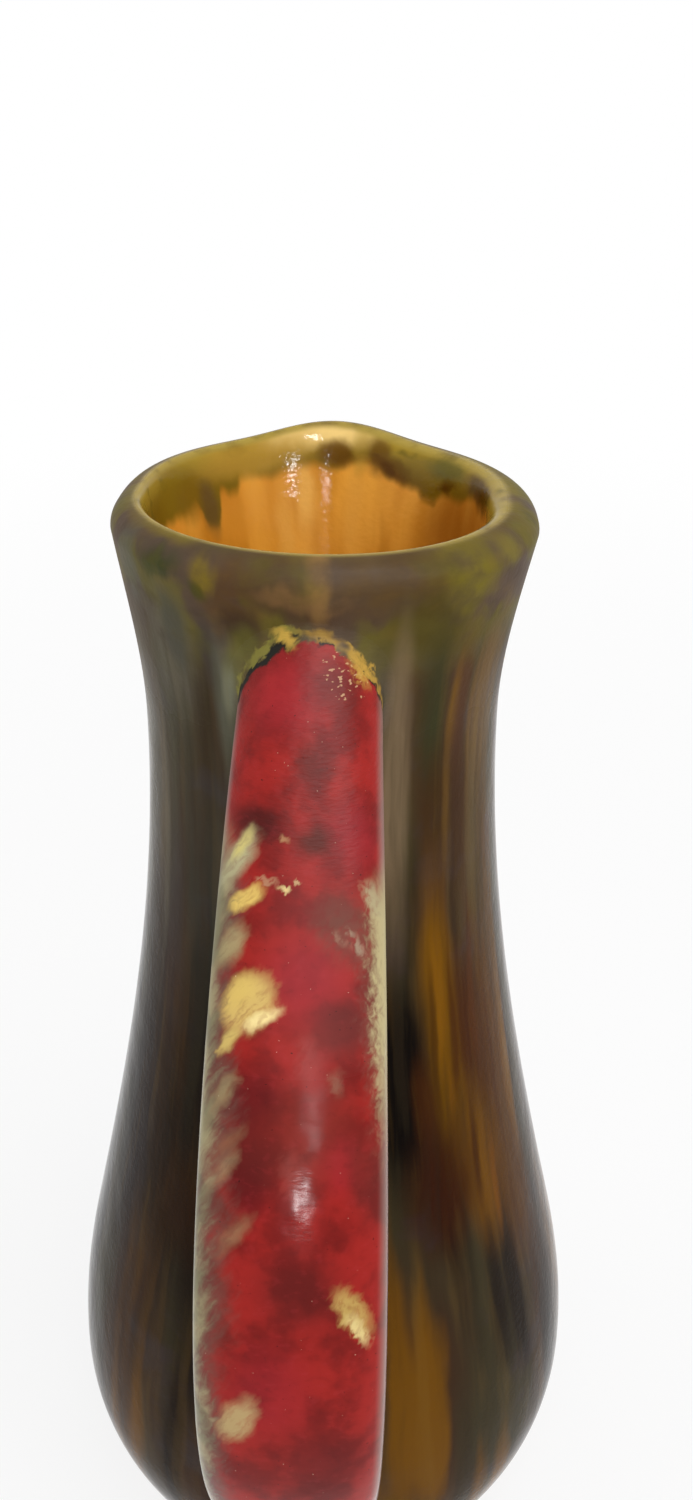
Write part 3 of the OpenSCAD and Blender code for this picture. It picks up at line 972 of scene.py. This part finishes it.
# Ochre patches on the border of the upper root as place, reach, lean and colour
root_patches = (
    ((-3.6, -37.5, 238.0), (2.4, 3, 1.4), 30, "#c7a246"),
    ((8.6, -38.5, 232.5), (0.9, 3, 3.0), -30, "#c39a44"),
)
red_finish, tree, shader, where = new_finish("red_strap_glaze")
root_away = stored(tree, "from_root")
across_share = stored(tree, "across")
outer_share = stored(tree, "outward")
spread_apart = node(tree, "ShaderNodeSeparateXYZ", {0: where})
sideways, upward = spread_apart.outputs[0], spread_apart.outputs[2]
brushed = stirred(tree, where, (3.2, 3.2, 3.6), (1.1, 1.1, 1.4), 21)
stroke_lean = {"Vector": brushed, "Angle": math.radians(-35)}
stroke = node(tree, "ShaderNodeVectorRotate", stroke_lean, rotation_type="Y_AXIS").outputs[0]
bristles = cloud(tree, stroke, (0.9, 0.9, 5.0), 22, 3.0)
bristle_push = times(tree, maths(tree, "SUBTRACT", bristles, 0.5), 0.0024)
feather = node(tree, "ShaderNodeCombineXYZ", {0: bristle_push, 2: bristle_push}).outputs[0]
feathered = vectors(tree, "ADD", brushed, feather)
mottle = cloud(tree, brushed, (8, 8, 8), 23, 3.0)
fine_mottle = cloud(tree, where, (2.2, 2.2, 1.4), 24, 4.0)
speck = cloud(tree, where, (0.5, 0.5, 0.5), 25, 1.0)
red_tone = lay_over(tree, ease(tree, mottle, 0.36, 0.62), colour("#781814"), colour("#9c221d"))
red_tone = lay_runs(tree, brushed, red_tone, red_clouds_and_sheen, 0.7, on_strap)
darker = times(tree, ease(tree, fine_mottle, 0.46, 0.3), 0.16)
red_tone = lay_over(tree, darker, red_tone, colour("#4e1210"))
brighter = times(tree, ease(tree, fine_mottle, 0.54, 0.72), 0.12)
red_tone = lay_over(tree, brighter, red_tone, colour("#b3343a"))
red_tone = lay_over(tree, ease(tree, speck, 0.24, 0.2), red_tone, colour("#30100d"))
red_tone = lay_over(tree, ease(tree, speck, 0.8, 0.84), red_tone, colour("#d8b8a0"))
# Thin grey-cream glaze along both edges, soft and wide on the left, narrow and broken on the right, over a
# painted pale sheen all along both edges
edge_ragged = times(tree, maths(tree, "SUBTRACT", bristles, 0.5), 0.3)
edge_wander = maths(tree, "SUBTRACT", cloud(tree, where, (9, 9, 14), 29), 0.5)
left_place = maths(tree, "ADD", across_share, maths(tree, "MULTIPLY_ADD", edge_wander, 0.5, edge_ragged))
right_place = maths(tree, "ADD", across_share, maths(tree, "MULTIPLY_ADD", edge_wander, 0.2, edge_ragged))
right_place = maths(tree, "MULTIPLY_ADD", ease(tree, upward, 0.194, 0.176), -0.07, right_place)
outer_edge = ease(tree, maths(tree, "MULTIPLY_ADD", edge_wander, 1.6, outer_share), -0.55, -0.1)
left_low = times(tree, ease(tree, upward, 0.214, 0.204), outer_edge)
cream_stretch = times(tree, ease(tree, upward, 0.208, 0.199), ease(tree, upward, 0.162, 0.186))
cream_stretch = times(tree, cream_stretch, outer_edge)
edge_tone = lay_over(tree, ease(tree, mottle, 0.4, 0.6), colour("#898462"), colour("#ada37a"))
edge_glaze_and_sheen = (
    # Painted sheen along both edges of the strap
    (ease(tree, maths(tree, "ABSOLUTE", across_share), 0.88, 1.01), outer_edge, colour("#96847a"), 0.7),
    (ease(tree, left_place, -0.5, -0.9), left_low, colour("#665449"), 0.75),
    (ease(tree, left_place, -0.74, -1.0), left_low, edge_tone, 0.85),
    (ease(tree, right_place, 0.62, 0.94), cream_stretch, colour("#75594a"), 0.75),
    (ease(tree, right_place, 0.755, 0.965), cream_stretch, colour("#c2b484"), 0.93),
)
for share, stretch, tone, strength in edge_glaze_and_sheen:
    share = times(tree, times(tree, share, stretch), strength)
    red_tone = lay_over(tree, share, red_tone, tone)
thickness = maths(tree, "MULTIPLY_ADD", ease(tree, bristles, 0.3, 0.55), 0.35, 0.65)
for across, z, half_w, half_l, lean, code, strength, soft in strap_splashes_and_sheen:
    share = splash(tree, feathered, on_strap(across, z), (half_w, half_w, half_l), soft, lean)
    share = times(tree, times(tree, share, thickness), strength)
    red_tone = lay_over(tree, share, red_tone, colour(code))
# Painted glints: pale dots in an arc right of the upper root, where light catches small bumps in the glaze
glint_dots = cloud(tree, where, (1.1, 1.1, 0.5), 31, 1.0)
glint_place = splash(tree, feathered, on_strap(6.5, 233.5), (4.2, 6, 6), 0.6, -25)
glint_dots = maths(tree, "MULTIPLY_ADD", maths(tree, "SUBTRACT", glint_place, 1.0), 0.3, glint_dots)
glint_share = ease(tree, glint_dots, 0.6, 0.66)
red_tone = lay_over(tree, times(tree, glint_share, 0.75), red_tone, colour("#d0a67c"))


def past(tree, border, start, soft):
    """0 before a line of the border and 1 past it, over a soft edge in metres."""
    return ease(tree, maths(tree, "SUBTRACT", border, start), 0, soft)


# The border round each root, from the wall: a ragged ochre line, a black one, then the red
ragged = cloud(tree, feathered, (3.0, 3.0, 3.0), 26, 4.0)
border = maths(tree, "MULTIPLY_ADD", maths(tree, "SUBTRACT", ragged, 0.5), 0.0055, root_away)
up_the_sides = ease(tree, maths(tree, "ABSOLUTE", sideways), 0.003, 0.0105)
border = maths(tree, "MULTIPLY_ADD", up_the_sides, -0.0024, border)
on_left = ease(tree, sideways, 0.001, -0.004)
patchy = cloud(tree, where, (4, 4, 4), 30, 2.0)
on_skirt = ease(tree, root_away, -0.0037, -0.0027)
root_tone = fired(tree, outside, {})
ochre_tone = lay_over(tree, ease(tree, mottle, 0.42, 0.58), colour("#8a6a30"), colour("#b8923e"))
ochre_tone = lay_over(tree, on_left, ochre_tone, colour("#837c36"))
ochre_patches = times(tree, ease(tree, patchy, 0.34, 0.52), 0.9)
ochre_start = maths(tree, "MULTIPLY_ADD", on_left, -0.0012, -0.0012)
ochre_share = times(tree, past(tree, border, ochre_start, 0.001), ochre_patches)
root_tone = lay_over(tree, times(tree, ochre_share, on_skirt), root_tone, ochre_tone)
black_start = maths(tree, "MULTIPLY_ADD", on_left, -0.0008, 0.0006)
black_patches = maths(tree, "MAXIMUM", on_left, ease(tree, patchy, 0.46, 0.54))
black_share = times(tree, past(tree, border, black_start, 0.0006), black_patches)
root_tone = lay_over(tree, times(tree, black_share, on_skirt), root_tone, colour("#1c1a13"))
red_start = maths(tree, "MULTIPLY_ADD", on_left, 0.0005, 0.0011)
root_tone = lay_over(tree, past(tree, border, red_start, 0.0008), root_tone, red_tone)
for spot, reach, lean, code in root_patches:
    share = splash(tree, feathered, [c * mm for c in spot], reach, 0.5, lean)
    share = times(tree, times(tree, share, on_skirt), 0.9)
    root_tone = lay_over(tree, share, root_tone, colour(code))
tree.links.new(root_tone, shader.inputs["Base Color"])
shader.inputs["Specular IOR Level"].default_value = 0.09
smoother = ease(tree, upward, 0.19, 0.174)
tree.links.new(maths(tree, "MULTIPLY_ADD", smoother, -0.34, 0.48), shader.inputs["Roughness"])
pucker = cloud(tree, where, (1.9, 1.9, 0.55), 27, 3.0)
pucker_share = maths(tree, "MULTIPLY_ADD", ease(tree, upward, 0.22, 0.2), -0.93, 1.0)
pucker = times(tree, pucker, pucker_share)
swell = cloud(tree, where, (5, 5, 6), 28, 1.0)
tree.links.new(dents(tree, pucker, 0.15, dents(tree, swell, 0.12)), shader.inputs["Normal"])

handle_coat.data.materials.append(red_finish)
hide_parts("handle_glaze")
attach(handle_coat, "root")


# The stage: a plain pale floor, a white room, soft light from the right behind the camera and from the
# left, and small windows that only show in the gloss. The camera stands over the handle and looks into the
# mouth.
floor_half = 12.0
floor_corners = [(x * floor_half, y * floor_half, 0) for x, y in ((-1, -1), (1, -1), (1, 1), (-1, 1))]
floor = mesh_piece("floor", floor_corners, [(0, 1, 2, 3)])
floor_finish, tree, shader, where = new_finish("pale_floor")
shader.inputs["Base Color"].default_value = (0.9, 0.9, 0.9, 1.0)
shader.inputs["Roughness"].default_value = 0.9


def seen_white(tree):
    """1 for what is seen straight, in a reflection or through glass, and 0 for light falling on the jug."""
    seen = node(tree, "ShaderNodeLightPath", {})
    straight = maths(tree, "ADD", seen.outputs["Is Camera Ray"], seen.outputs["Is Glossy Ray"])
    return maths(tree, "ADD", straight, seen.outputs["Is Transmission Ray"])


white = node(tree, "ShaderNodeEmission", {"Color": (1.0, 1.0, 1.0, 1.0), "Strength": 1.0})
# A soft shadow stays on the floor close to the jug
near_white = 0.82
further = ease(tree, how_long(tree, where), 0.25, 1.0)
far_off = maths(tree, "MULTIPLY_ADD", further, 1 - near_white, near_white)
white_share = times(tree, seen_white(tree), far_off)
floor_look = node(tree, "ShaderNodeMixShader", {0: white_share, 1: shader.outputs[0], 2: white.outputs[0]})
tree.links.new(floor_look.outputs[0], tree.nodes["Material Output"].inputs["Surface"])
floor.data.materials.append(floor_finish)

world = bpy.data.worlds.new("studio")
bpy.context.scene.world = world
world.use_nodes = True
tree = world.node_tree
room = tree.nodes["Background"]
room.inputs["Color"].default_value = (1.0, 1.0, 1.0, 1.0)
room_level = 0.45
room_strength = maths(tree, "MULTIPLY_ADD", seen_white(tree), 1 - room_level, room_level)
tree.links.new(room_strength, room.inputs["Strength"])

jug_middle = Vector((0, 0, 0.16))


def soft_box(name, azimuth, elevation, distance, width, tall, watts):
    """A panel of light aimed at the jug, its azimuth in degrees from the handle round to the right."""
    lamp = bpy.data.lights.new(name, "AREA")
    lamp.shape = "RECTANGLE"
    lamp.size = width
    lamp.size_y = tall
    lamp.energy = watts
    turn, rise = math.radians(azimuth), math.radians(elevation)
    aim = Vector((math.sin(turn) * math.cos(rise), -math.cos(turn) * math.cos(rise), math.sin(rise)))
    box = bpy.data.objects.new(name, lamp)
    box.location = jug_middle + aim * distance
    box.rotation_euler = aim.to_track_quat("Z", "Y").to_euler()
    bpy.context.scene.collection.objects.link(box)
    return box


soft_box("right_behind", azimuth=40, elevation=50, distance=2.2, width=2.4, tall=2.4, watts=39)
soft_box("left_wall", azimuth=-85, elevation=30, distance=1.9, width=1.3, tall=1.1, watts=6)
window_distance = 1.4
# Windows as name, azimuth, elevation, width, height and watts
for name, azimuth, elevation, width, tall, watts in (
    ("window_right", 52, 41, 0.16, 0.08, 13),
    ("window_middle", 4, 47, 0.1, 0.08, 10),
    ("window_high", 48, 72, 0.26, 0.08, 20),
    ("window_low", 0, 5, 0.04, 0.05, 2.0),
    ("window_tall", 4, 23, 0.12, 0.46, 3.6),
):
    window = soft_box(name, azimuth, elevation, window_distance, width, tall, watts)
    window.visible_diffuse = False

# Two tall windows behind the jug put a sheen on the back of its dark coat alone, and leave the rim plain
back_of_jug = bpy.data.collections.new("back_of_jug")
back_of_jug.objects.link(dark_coat)
for name, azimuth in (("window_far_right", 142), ("window_far_left", -142)):
    window = soft_box(name, azimuth, 14, window_distance, width=0.1, tall=0.5, watts=14)
    window.visible_diffuse = False
    window.light_linking.receiver_collection = back_of_jug

camera_spot = Vector((0.0153, -0.2498, 0.3296))
heading = math.radians(-2.39)
pitch = math.radians(27.93)
tilt = math.radians(0.38)
level = Vector((math.sin(heading), math.cos(heading), 0))
look = level * math.cos(pitch) - Vector((0, 0, 1)) * math.sin(pitch)
right = Vector((math.cos(heading), -math.sin(heading), 0))
above = right.cross(look)
camera_right = right * math.cos(tilt) + above * math.sin(tilt)
camera_up = above * math.cos(tilt) - right * math.sin(tilt)
camera = bpy.data.objects.new("camera", bpy.data.cameras.new("camera"))
camera.data.lens = 33.312
camera.data.sensor_width = 36.0
camera.data.clip_start = 0.01
axes = Matrix((camera_right, camera_up, -look)).transposed().to_4x4()
camera.matrix_world = Matrix.Translation(camera_spot) @ axes
bpy.context.scene.collection.objects.link(camera)
bpy.context.scene.camera = camera
bpy.context.scene.view_settings.view_transform = "Standard"
